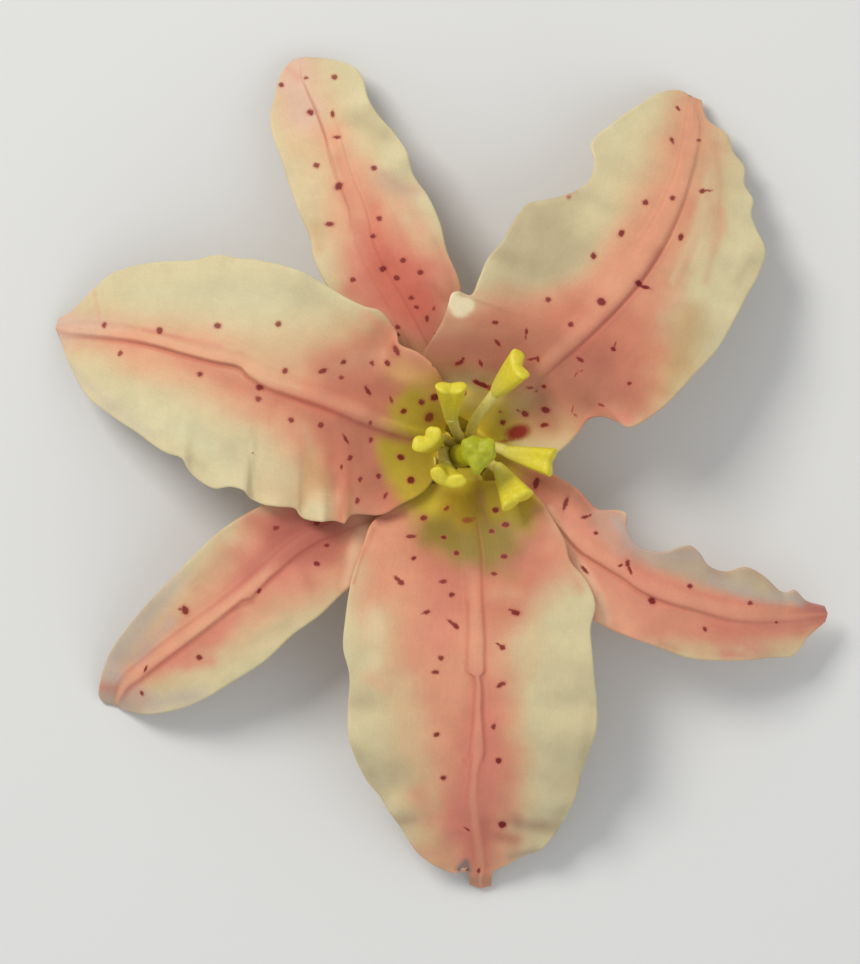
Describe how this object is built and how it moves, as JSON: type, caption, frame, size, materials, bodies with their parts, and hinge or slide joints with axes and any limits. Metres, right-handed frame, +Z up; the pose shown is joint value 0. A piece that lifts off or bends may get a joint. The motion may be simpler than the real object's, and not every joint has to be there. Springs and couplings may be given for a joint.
{
  "type": "tiger lily bloom",
  "caption": "Open spotted lily bloom lying face up: broad wavy petals over narrow sepals round a green throat, with yellow stamens and a pistil.",
  "frame": {"origin": "middle of the receptacle's flat cut face, which lies on the surface", "axes": "+Z up out of the bloom's throat; +Y towards the top of the picture, between the top sepal and the upper right petal; +X to the picture's right"},
  "size_m": [0.1399, 0.1506, 0.0285],
  "materials": {
    "petal": "waxy matt, cream with a salmon pink middle, a yellow-green throat and dark red spots",
    "sepal": "waxy matt, salmon pink with cream margins and dark red spots",
    "receptacle": "matt green",
    "filament": "satin, pale yellow-green",
    "anther": "soft matt yellow",
    "pistil": "satin lime green"
  },
  "bodies": {
    "root": {"petal_left": "petal", "petal_upper_right": "petal", "petal_bottom": "petal", "sepal_top": "sepal", "sepal_lower_right": "sepal", "sepal_lower_left": "sepal", "receptacle": "receptacle", "filament_1": "filament", "anther_1": "anther", "filament_2": "filament", "anther_2": "anther", "filament_3": "filament", "anther_3": "anther", "filament_4": "filament", "anther_4": "anther", "filament_5": "filament", "anther_5": "anther", "filament_6": "filament", "anther_6": "anther", "pistil": "pistil"}
  },
  "joints": []
}
